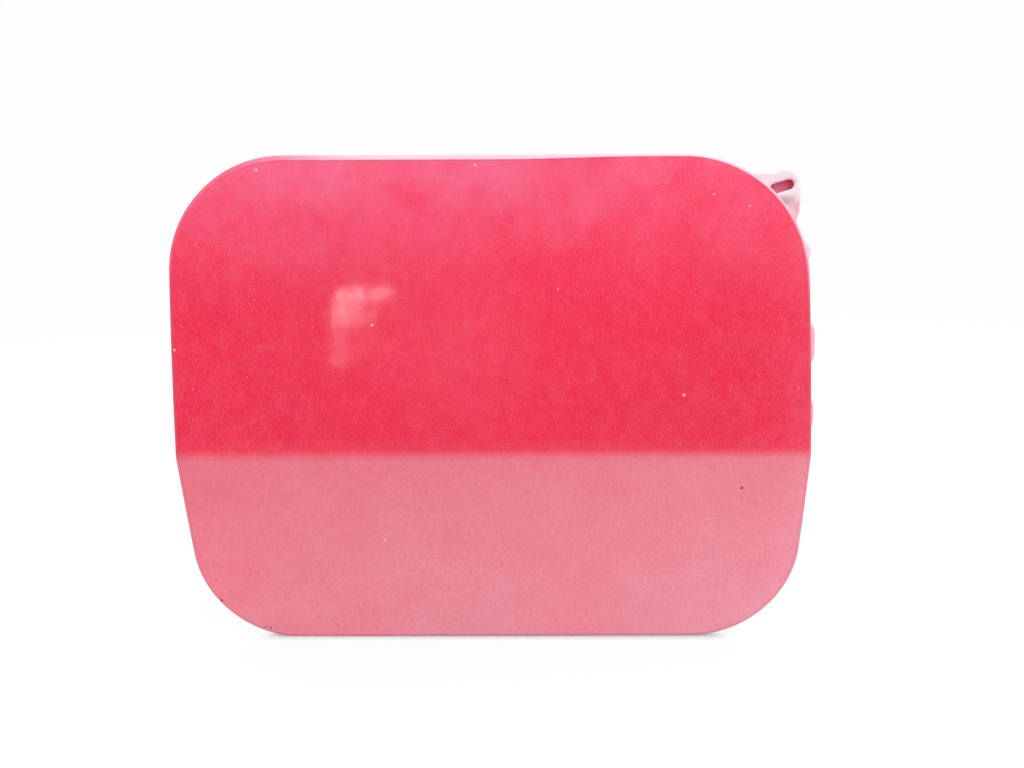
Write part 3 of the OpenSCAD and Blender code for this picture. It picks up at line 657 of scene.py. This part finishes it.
def inset(x, z):
    """Distance from the door's outline in to a point."""
    for side in (1, -1):
        for end in (1, -1):
            cx, cz, r, tangent = corner(side, end)
            across, up = side * (x - cx), end * (z - cz)
            lean = end * tangent
            past = across > 0 and (up > 0 or up > across * math.tan(lean))
            if past and math.atan2(up, across) > lean:
                return r - math.hypot(across, up)
    sides = []
    for side in (1, -1):
        cx = side * (DOOR_W / 2 - BOW_R)
        sides.append(BOW_R - math.hypot(x - cx, z - BOW_Z[side]))
    return min(*sides, UPPER_H - z, z + LOWER_H)


def bead_off(x, z):
    """Distance from the nearest bead's middle line."""
    reach = (BEAD_L - BEAD_W) / 2
    return min(math.hypot(max(abs(x - BEAD_X) - reach, 0), z - bz) for bz in BEAD_ZS)


def liner_level(x, z):
    """Depth of the liner's back face behind the door's outer face, before the crease."""
    d = inset(x, z)
    span = smooth(z, ROOM_LOW - LEAD, ROOM_LOW + 1.6)
    span *= 1 - smooth(z, ROOM_HIGH - 1.6, ROOM_HIGH + LEAD)
    pan = smooth(d, PAN_INSET - LEAD, PAN_INSET + 1.8)
    low = max(pan, span * smooth(x, PAN_EDGE_X - LEAD, PAN_EDGE_X + 1.6))
    top = FRAME_LEVEL + (PAN_LEVEL - FRAME_LEVEL) * low
    top += BEAD_RISE * (1 - smooth(bead_off(x, z), BEAD_W / 2 - 1.3, BEAD_W / 2 + 0.1))
    raised = smooth(d, FRAME_INSET, FRAME_INSET + 2.0)
    raised *= 1 - span * smooth(x, ROOM_X - LEAD, ROOM_X + 1.4)
    return FOLD + (top - FOLD) * raised


def liner_point(x, z, level):
    bulge = crown(x, z) * (1 - smooth(level, FOLD, FOLD + 1))
    return Vector((x, depth_at(level, z) + bulge, z))


def circle(x, z, r):
    turn = [2 * math.pi * i / CIRCLE_SIDES for i in range(CIRCLE_SIDES)]
    return [(x + r * math.cos(a), z + r * math.sin(a)) for a in turn]


def capsule(x, z, reach, r):
    return [(x + px + math.copysign(reach, px), z + pz) for px, pz in circle(0, 0, r)]


def tilted_z(z, depth):
    """Height and depth of a place set square to the facet it is on."""
    if z >= 0:
        return z, depth
    lean, upright = math.sin(CREASE), math.cos(CREASE)
    return depth * lean + z * upright, depth * upright - z * lean


def liner_holes():
    """Centre x and z, radius, of each hole through the liner."""
    holes = [(BEAD_X + side * ACCESS_X, ACCESS_Z, ACCESS_R) for side in (-1, 1)]
    drain_z = tilted_z(-LOWER_H + PAN_INSET / 2 - 1, FRAME_LEVEL)[0]
    holes += [(i * DOOR_W / 4, drain_z, DRAIN_R) for i in (-1, 0, 1)]
    holes += [(BUFFER_X, tilted_z(z, FRAME_LEVEL)[0], STEM_HOLE_R) for z in BUFFER_ZS]
    return holes


def form_lines():
    """Lines of the liner's form in plan, each with whether it is closed."""
    loop = perimeter(door_rows(), LINER_COLS)
    lines = []
    walls = (0.0, 0.25, 0.6, 1.0, 1.4, 1.75, 2.0)
    insets = [LINER_FOOT, 4, 7, 9.5] + [FRAME_INSET + w for w in walls] + [16, 20, 24, 27.5]
    insets += [PAN_INSET - LEAD + w for w in walls]
    for d in insets:
        ring = []
        for z0, u in loop:
            z = row_z(z0, d)
            left, right = x_end(-1, z, d), x_end(1, z, d)
            ring.append((left + (right - left) * u, z))
        lines.append((ring, True))
    for bz in BEAD_ZS:
        for r in (3.1, 3.4, 3.8, 4.2, 4.5, 4.7):
            lines.append((capsule(BEAD_X, bz, (BEAD_L - BEAD_W) / 2, r), True))
    for x, z, r in liner_holes():
        for grow in (0, 0.6, 2.0):
            lines.append((circle(x, z, r + grow), True))
    for step in walls[:-1] + (1.8,):
        for x in (PAN_EDGE_X - LEAD + step, ROOM_X - LEAD + step):
            lines.append(([(x, ROOM_LOW - 2), (x, ROOM_HIGH + 2)], False))
        for z in (ROOM_LOW - LEAD + step, ROOM_HIGH - 1.6 + step):
            lines.append(([(PAN_EDGE_X - 1, z), (98, z)], False))
    for z in (1.2, 0.87, 0.7, 0.45, 0.2, -0.05, -0.3, -0.6):
        lines.append(([(-99, z), (99, z)], False))
    return lines


def formed_liner():
    """The liner as one pressed sheet with its holes, triangulated between its form lines."""
    plan, edges = [], []
    for line, closed in form_lines():
        start = len(plan)
        plan.extend(Vector(q) for q in line)
        edges.extend((start + i, start + i + 1) for i in range(len(line) - 1))
        if closed:
            edges.append((start + len(line) - 1, start))
    for i in range(-24, 25):
        for j in range(-15, 23):
            x, z = i * 4.0 + 0.3, j * 4.1 + 0.2
            if inset(x, z) > 2:
                plan.append(Vector((x, z)))
    plan, _, faces, *_ = delaunay_2d_cdt(plan, edges, [], 0, 1e-4)
    holes = liner_holes()
    kept = []
    for face in faces:
        x = sum(plan[i].x for i in face) / 3
        z = sum(plan[i].y for i in face) / 3
        in_hole = any(math.hypot(x - hx, z - hz) < r for hx, hz, r in holes)
        if inset(x, z) >= LINER_FOOT and not in_hole:
            kept.append(tuple(face))
    back = [liner_point(q.x, q.y, liner_level(q.x, q.y)) for q in plan]
    normals = [Vector() for q in plan]
    for a, b, c in kept:
        n = (back[b] - back[a]).cross(back[c] - back[a])
        n = n if n.y > 0 else -n
        for i in (a, b, c):
            normals[i] += n
    front = [
        q - (n.normalized() * LINER_T if n.length else Vector()) for q, n in zip(back, normals)
    ]
    count = len(plan)
    used = {}
    for face in kept:
        for a, b in zip(face, face[1:] + face[:1]):
            used.setdefault((min(a, b), max(a, b)), []).append((a, b))
    solid = kept + [tuple(i + count for i in reversed(face)) for face in kept]
    rims = [sides[0] for sides in used.values() if len(sides) == 1]
    solid += [(b, a, a + count, b + count) for a, b in rims]
    ob = mesh_object("liner_pressing", [row(*q) for q in back + front], solid, 60)
    bm = bmesh.new()
    bm.from_mesh(ob.data)
    bmesh.ops.delete(bm, geom=[v for v in bm.verts if not v.link_faces], context="VERTS")
    bm.to_mesh(ob.data)
    bm.free()
    return ob


# Rubber pieces, moulded: buffers turned about their own axis, a ribbed stop pad


def loft(name, rings):
    """Closed solid through rings of equal length, capped at both ends."""
    verts = [v for ring in rings for v in ring]
    n = len(rings[0])
    faces = []
    for k in range(len(rings) - 1):
        for i in range(n):
            j = (i + 1) % n
            faces.append((k * n + i, k * n + j, (k + 1) * n + j, (k + 1) * n + i))
    faces.append(tuple(range(n)))
    faces.append(tuple((len(rings) - 1) * n + i for i in range(n)))
    return mesh_object(name, verts, faces, 35)


BUFFER_R, BUFFER_H = 5.5, 4.4
BUFFER_SIDES = 64
PARTING = 0.05
# Barbed stem, then the head with its groove: radius, depth
BUFFER_SECTION = (
    (1.5, 3.1), (1.85, 3.15), (2.05, 3.4), (3.3, 5.15), (3.45, 5.35), (3.3, 5.48), (2.5, 5.5),
    (2.5, 6.2), (4.95, 6.2), (5.3, 6.3), (5.47, 6.55), (5.5, 6.9), (5.5, 7.5), (5.42, 7.62),
    (5.25, 7.75), (5.22, 7.9), (5.25, 8.05), (5.4, 8.2), (5.46, 8.35), (5.42, 8.6), (5.28, 8.78),
)


def turned_buffer(name, high):
    """Rubber buffer with a domed, dimpled top and a fine parting line on two sides."""
    top = FRAME_LEVEL + BUFFER_H
    ball = BUFFER_R * 5 / 3
    section = list(BUFFER_SECTION)
    for r in (5.0, 4.4, 3.7, 2.9, 2.0, 1.45):
        section.append((r, top - (ball - math.sqrt(ball * ball - r * r))))
    section += [(1.3, top - 0.22), (1.15, top - 0.42), (0.6, top - 0.46), (0.15, top - 0.46)]
    rings = []
    for r, depth in section:
        ring = []
        for i in range(BUFFER_SIDES):
            a = 2 * math.pi * i / BUFFER_SIDES
            proud = r + (PARTING if r > 4 and i % (BUFFER_SIDES // 2) == 0 else 0.0)
            z, y = tilted_z(high + proud * math.sin(a), depth)
            ring.append(row(BUFFER_X + proud * math.cos(a), y, z))
        rings.append(ring)
    return loft(name, rings)


def rounded_rect(w, h, r):
    steps = 6
    out = []
    for sx, sz, start in ((1, 1, 0), (-1, 1, 90), (-1, -1, 180), (1, -1, 270)):
        for i in range(steps + 1):
            a = math.radians(start + 90 * i / steps)
            out.append((sx * (w / 2 - r) + r * math.cos(a), sz * (h / 2 - r) + r * math.sin(a)))
    return out


STOP_X = 89.3156
STOP_Y0, STOP_Y1 = 15.8, 19.3
STOP_Z, STOP_W = 40.95, 9.0
STOP_CORNER = 0.9
# Height above the tab, distance in from the pad's outline
STOP_LAYERS = (
    (0.0, 0.35), (0.08, 0.12), (0.25, 0.0), (0.6, 0.0), (0.75, 0.12), (0.95, 0.2), (1.15, 0.12),
    (1.3, 0.0), (1.7, 0.0), (1.88, 0.12), (1.97, 0.35), (2.0, 0.6), (1.9, 0.85), (1.88, 1.2),
)


def ribbed_stop():
    """Rubber pad with rounded edges and a waist between two lips."""
    w, h = STOP_Y1 - STOP_Y0, STOP_W
    mid_y = (STOP_Y0 + STOP_Y1) / 2
    rings = []
    for along, inward in STOP_LAYERS:
        r = max(STOP_CORNER - inward, 0.25)
        plan = rounded_rect(w - 2 * inward, h - 2 * inward, r)
        rings.append([row(STOP_X + along, mid_y + a, STOP_Z + b) for a, b in plan])
    return loft("stop_pad_rubber", rings)


def pressed(name, voxel):
    """Copy of a packed sheet piece with every edge rounded as a press leaves it."""
    node = NODES[name]
    rough = bpy.data.objects.new(name + "_rough", node.data.copy())
    rough.matrix_world = node.matrix_world
    scene.collection.objects.link(rough)
    grain = rough.modifiers.new("grain", "REMESH")
    grain.mode = "VOXEL"
    grain.voxel_size = voxel * MM
    ease = rough.modifiers.new("ease", "SMOOTH")
    ease.factor = 0.5
    ease.iterations = 3
    graph = bpy.context.evaluated_depsgraph_get()
    me = bpy.data.meshes.new_from_object(rough.evaluated_get(graph))
    me.name = name + "_pressing"
    me.transform(node.matrix_world)
    bpy.data.objects.remove(rough)
    me.polygons.foreach_set("use_smooth", [True] * len(me.polygons))
    ob = bpy.data.objects.new(name + "_pressing", me)
    scene.collection.objects.link(ob)
    return ob


WAIST_X, WAIST_PULL = 103.5, 1.3
WAIST_LOW, WAIST_HIGH = (71.6, 73), (77, 81)


def waist_bracket(ob):
    """Draws in the foot's outer edge between the top pad and the ear, as the photograph shows."""
    edge_x, full = row(WAIST_X, 0, 0).x, WAIST_PULL * MM
    for v in ob.data.vertices:
        z = v.co.z / MM + BOLT_MID
        over = (v.co.x - edge_x) / (2 * MM)
        if over > 0:
            v.co.x -= full * min(over, 1) * smooth(z, *WAIST_LOW) * (1 - smooth(z, *WAIST_HIGH))


SLOT_X, SLOT_Z = 98.0, 88.3
SLOT_TILT = math.radians(17)
SLOT_L, SLOT_W = 9.5, 4.0
EAR_FRONT = 25.4
LIP_W, LIP_FOLD = 2.2, 0.30


def draw_slot(ob):
    """Folds the lip of the ear's slot inwards, as the photograph shows it."""
    reach = (SLOT_L - SLOT_W) / 2
    away = Vector((math.cos(SLOT_TILT), math.sin(SLOT_TILT)))
    for v in ob.data.vertices:
        x, z = v.co.x / MM + BOLT_X - SLOT_X, v.co.z / MM + BOLT_MID - SLOT_Z
        if v.co.y / MM + FOOT_BACK > EAR_FRONT:
            continue
        along, across = x * away.x + z * away.y, z * away.x - x * away.y
        over = max(abs(along) - reach, 0)
        gap = math.hypot(over, across) - SLOT_W / 2
        if gap > LIP_W:
            continue
        pull = LIP_FOLD * (1 - smooth(gap, 0, LIP_W))
        size = max(math.hypot(over, across), 0.01)
        end = 0.7 * pull * smooth(abs(along), reach - 0.5, reach + 1.5)
        da = math.copysign(over / size * pull + end, -along)
        db = math.copysign(abs(across) / size * pull, -across)
        v.co.x += (da * away.x - db * away.y) * MM
        v.co.z += (da * away.y + db * away.x) * MM


def install(ob, body, node, mat):
    """Puts a detailed piece in a CAD node's place, on its body and in its material's slot."""
    ob.data.materials.clear()
    ob.data.materials.append(mat)
    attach(ob, body)
    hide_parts(node)


bracket = pressed("base_bracket", 0.42)
waist_bracket(bracket)
draw_slot(bracket)
install(bracket, "base", "base_bracket", HINGE)
install(pressed("hinge_leaf", 0.40), "door", "hinge_leaf", LINER)
install(pressed("catch_hook", 0.25), "door", "catch_hook", ZINC)
install(formed_liner(), "door", "inner_liner", LINER)
install(turned_buffer("upper_buffer_rubber", BUFFER_ZS[0]), "door", "upper_buffer", RUBBER)
install(turned_buffer("lower_buffer_rubber", BUFFER_ZS[1]), "door", "lower_buffer", RUBBER)
install(ribbed_stop(), "base", "stop_pad", RUBBER)


# Torsion spring: the wire of the imported part, made finer

PIN_X, PIN_Y = 85.4, 8.3
SHEET_T = 1.5
FIT_GAP = 0.05
LEAF_CURL_R, BASE_CURL_R, BASE_BORE = 4.9, 4.02, 2.52
FOOT_FRONT = 26.5
WIRE_R = 0.6
SPRING_LOW, SPRING_GAP = 32.95, 16
COIL_LOW = SPRING_LOW + 0.6 + WIRE_R
COIL_TURNS = 8
COIL_PITCH = (SPRING_GAP - 1.2 - 2 * WIRE_R) / COIL_TURNS
COIL_TOP = COIL_LOW + COIL_PITCH * COIL_TURNS
COIL_R = (BASE_BORE + LEAF_CURL_R) / 2 + 0.15
COIL_START, COIL_END = 250, 180
TURN_STEPS = 28


def spring_line():
    """Middle line of the wire: hook through the leaf, leg, coil, leg along the wall."""
    hook_x = -17.0
    leg_y = PAN_LEVEL + SHEET_T + WIRE_R + FIT_GAP - PIN_Y
    wall_x = SHEET_T - BASE_CURL_R + WIRE_R + FIT_GAP
    top = COIL_TOP
    points = [
        (hook_x, PAN_LEVEL - LINER_T - 0.5 - PIN_Y, COIL_LOW), (hook_x, leg_y - 0.9, COIL_LOW),
        (hook_x + 0.35, leg_y - 0.2, COIL_LOW), (hook_x + 1.1, leg_y, COIL_LOW),
        (-COIL_R * 1.5, leg_y, COIL_LOW), (-COIL_R * 0.9, leg_y - 0.15, COIL_LOW),
    ]
    steps = TURN_STEPS * COIL_TURNS
    sweep = COIL_END - COIL_START + 360 * COIL_TURNS
    for i in range(steps + 1):
        turned = sweep * i / steps
        a = math.radians(COIL_START + turned)
        z = COIL_LOW + COIL_PITCH * turned / 360
        points.append((COIL_R * math.cos(a), COIL_R * math.sin(a), z))
    points += [
        (-COIL_R * 0.93, COIL_R * 0.55, top), (wall_x - 0.15, COIL_R * 1.25, top),
        (wall_x, COIL_R * 1.6, top), (wall_x, FOOT_FRONT - 5 - PIN_Y, top),
    ]
    return [Vector((x + PIN_X, y + PIN_Y, z)) for x, y, z in points]


def tube(name, points, radius, sides):
    """Wire round a line of points, capped at both ends."""
    verts, faces = [], []
    up = Vector((0, 0, 1))
    for i, p in enumerate(points):
        t = (points[min(i + 1, len(points) - 1)] - points[max(i - 1, 0)]).normalized()
        up = (up - t * up.dot(t)).normalized()
        across = t.cross(up)
        for k in range(sides):
            a = 2 * math.pi * k / sides
            q = p + radius * (math.cos(a) * up + math.sin(a) * across)
            verts.append(row(*q))
    for i in range(len(points) - 1):
        for k in range(sides):
            n = (k + 1) % sides
            faces.append((i * sides + k, i * sides + n, (i + 1) * sides + n, (i + 1) * sides + k))
    faces.append(tuple(range(sides)))
    faces.append(tuple((len(points) - 1) * sides + k for k in range(sides)))
    return mesh_object(name, verts, faces)


spring = tube("torsion_spring_wire", spring_line(), WIRE_R - 0.02, 14)
spring.data.materials.append(WIRE)
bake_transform(spring)
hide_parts("torsion_spring")


# Stage: a pale floor where the door stands, soft light all round

FLOOR_REACH = 3000
FLOOR_PAINT = (0.93, 0.925, 0.93, 1)
FLOOR_WHITE_SHARE = 0.86
CONTACT_REACH = 5

# Level of the room's light from straight below (0) to straight above (1)
WORLD_LEVELS = (
    (0.0, 0.7), (0.50, 0.50), (0.54, 0.32), (0.58, 0.20), (0.605, 0.18), (0.63, 0.24),
    (0.654, 0.40), (0.672, 0.55), (0.689, 0.75), (0.71, 0.92), (0.85, 1.05), (1.0, 1.05),
)


def stage_floor():
    """A matt floor that shows white, with the door's contact shadow on it."""
    across = Vector((1, 0, 0))
    along = WORLD_UP.cross(across).normalized()
    across = along.cross(WORLD_UP).normalized()
    middle = WORLD_UP * FLOOR_LEVEL
    corners = [
        middle + across * (FLOOR_REACH * a) + along * (FLOOR_REACH * b)
        for a, b in ((-1, -1), (1, -1), (1, 1), (-1, 1))
    ]
    me = bpy.data.meshes.new("floor")
    me.from_pydata([tuple(row(*c)) for c in corners], [], [(0, 1, 2, 3)])
    ob = bpy.data.objects.new("floor", me)
    scene.collection.objects.link(ob)
    g = Graph("floor_white")
    matt = g.node("ShaderNodeBsdfDiffuse", {"Color": FLOOR_PAINT})
    nearby = g.node("ShaderNodeAmbientOcclusion", {"Distance": CONTACT_REACH * MM}, samples=8)
    contact = g.ramp(nearby.outputs["AO"], 0.25, 0.8, 0.45, 1.0)
    glow = g.node("ShaderNodeEmission", {"Color": (1, 1, 1, 1), "Strength": contact})
    share = g.times(g.seen_directly(), FLOOR_WHITE_SHARE)
    g.surface(g.node("ShaderNodeMixShader", {0: share, 1: matt.outputs[0], 2: glow.outputs[0]}))
    me.materials.append(g.mat)


def stage_world():
    """A white room to look at; its light comes from a wash of levels over the height."""
    g = Graph("studio", world=True)
    scene.world = g.mat
    rise = g.node("ShaderNodeVectorMath", {0: g.coord, 1: WORLD_UP}, operation="DOT_PRODUCT")
    wash = g.node("ShaderNodeValToRGB")
    levels = wash.color_ramp.elements
    for position, _ in WORLD_LEVELS[1:-1]:
        levels.new(position)
    for element, (_, level) in zip(levels, WORLD_LEVELS):
        element.color = (level, level, level, 1)
    g.link(g.math("MULTIPLY_ADD", rise.outputs["Value"], 0.5, 0.5), wash.inputs["Fac"])
    room = g.node("ShaderNodeBackground", {"Color": wash.outputs[0]})
    white = g.node("ShaderNodeBackground", {"Color": (0.99, 0.99, 0.99, 1)})
    looks = {0: g.seen_directly(), 1: room.outputs[0], 2: white.outputs[0]}
    g.surface(g.node("ShaderNodeMixShader", looks))


def area_lamp(name, place, target, size, power):
    light = bpy.data.lights.new(name, "AREA")
    light.shape = "RECTANGLE"
    light.size = size[0] * MM
    light.size_y = size[1] * MM
    light.energy = power
    ob = bpy.data.objects.new(name, light)
    scene.collection.objects.link(ob)
    at, to = row(*place), row(*target)
    ob.location = at
    ob.rotation_euler = (to - at).to_track_quat("-Z", "Y").to_euler()
    ob.visible_camera = False


# Bright cards that the upper facet mirrors: corners in pixels of the photograph, strength
WINDOW_BARS = (
    (((338, 288), (362, 287), (364, 297), (331, 299)), 14.5),
    (((364, 289), (374, 290), (373, 297), (364, 297)), 8.5),
    (((374, 287), (391, 289), (392, 298), (373, 298)), 12.0),
    (((331, 301), (346, 300), (346, 327), (329, 327)), 10.0),
    (((346, 300), (362, 299), (360, 326), (346, 326)), 6.6),
    (((362, 299), (378, 299), (374, 322), (360, 325)), 4.2),
    (((329, 327), (344, 327), (345, 367), (328, 366)), 4.4),
    (((345, 327), (372, 323), (392, 345), (384, 362), (346, 360)), 1.7),
)


WINDOW_AWAY = 520.0


def window_cards():
    """A bright window behind the camera, which the upper facet mirrors as a pale angle."""
    cam_at = CAMERA[0]
    for i, (bar, level) in enumerate(WINDOW_BARS):
        verts = []
        for px, py in bar:
            p = (on_door(px, py) - row(0, 0, 0)) / MM
            back = WINDOW_AWAY / (p.y - cam_at.y)
            x, z = p.x + (p.x - cam_at.x) * back, p.z + (p.z - cam_at.z) * back
            verts.append(row(x, -WINDOW_AWAY, z))
        me = bpy.data.meshes.new(f"window_{i}")
        me.from_pydata([tuple(v) for v in verts], [], [tuple(range(len(verts)))])
        ob = bpy.data.objects.new(f"window_{i}", me)
        scene.collection.objects.link(ob)
        g = Graph(f"window_glow_{i}")
        g.surface(g.node("ShaderNodeEmission", {"Color": (1, 0.97, 1, 1), "Strength": level}))
        me.materials.append(g.mat)
        ob.visible_camera = False
        ob.visible_diffuse = False
        ob.visible_shadow = False


stage_floor()
stage_world()
area_lamp("key", place=(420, -380, 560), target=(0, 0, 20), size=(500, 400), power=2.6)
area_lamp("fill", place=(-520, -300, 300), target=(0, 0, 10), size=(400, 400), power=0.75)
area_lamp("overhead", place=(0, 240, 330), target=(0, 0, 90), size=(900, 320), power=0.7)
window_cards()

cam_data = bpy.data.cameras.new("camera")
cam_data.lens = FOCAL / PHOTO_W * SENSOR_W
cam_data.sensor_width = SENSOR_W
cam_data.sensor_fit = "HORIZONTAL"
cam_data.clip_start = 0.01
cam_data.clip_end = 20
cam = bpy.data.objects.new("camera", cam_data)
scene.collection.objects.link(cam)
place, right, up, forward = CAMERA
turn = Matrix((right, up, -forward)).transposed()
cam.matrix_world = Matrix.Translation(row(*place)) @ turn.to_4x4()
scene.camera = cam

scene.view_settings.view_transform = "Standard"
